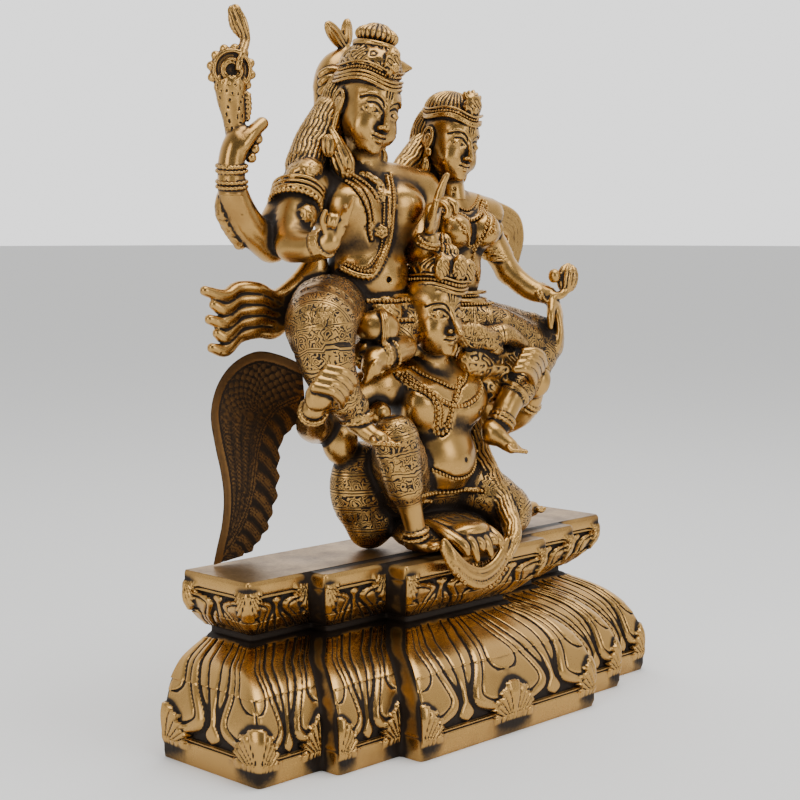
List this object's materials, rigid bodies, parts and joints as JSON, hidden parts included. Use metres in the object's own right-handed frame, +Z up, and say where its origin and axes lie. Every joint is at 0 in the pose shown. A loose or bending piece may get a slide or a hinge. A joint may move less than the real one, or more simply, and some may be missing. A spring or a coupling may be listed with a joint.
{
  "type": "deity group statue",
  "caption": "Cast brass statue: a crowned deity and his consort ride on the shoulders of a kneeling winged bearer, on a stepped lotus plinth",
  "frame": {"origin": "centre of the plinth's underside", "axes": "+Z up, +X to the figures' own left, figures look towards -Y"},
  "size_m": [0.4356, 0.1806, 0.5297],
  "materials": {
    "antique_brass": "hand-chased and polished on the high places, with a black-brown patina left in every recess",
    "dark_brass": "darker, browner patina with only the raised edges rubbed bright"
  },
  "bodies": {
    "root": {"plinth": "antique_brass", "riders_and_bearer": "antique_brass", "wing_left": "dark_brass", "wing_right": "dark_brass"}
  },
  "joints": []
}
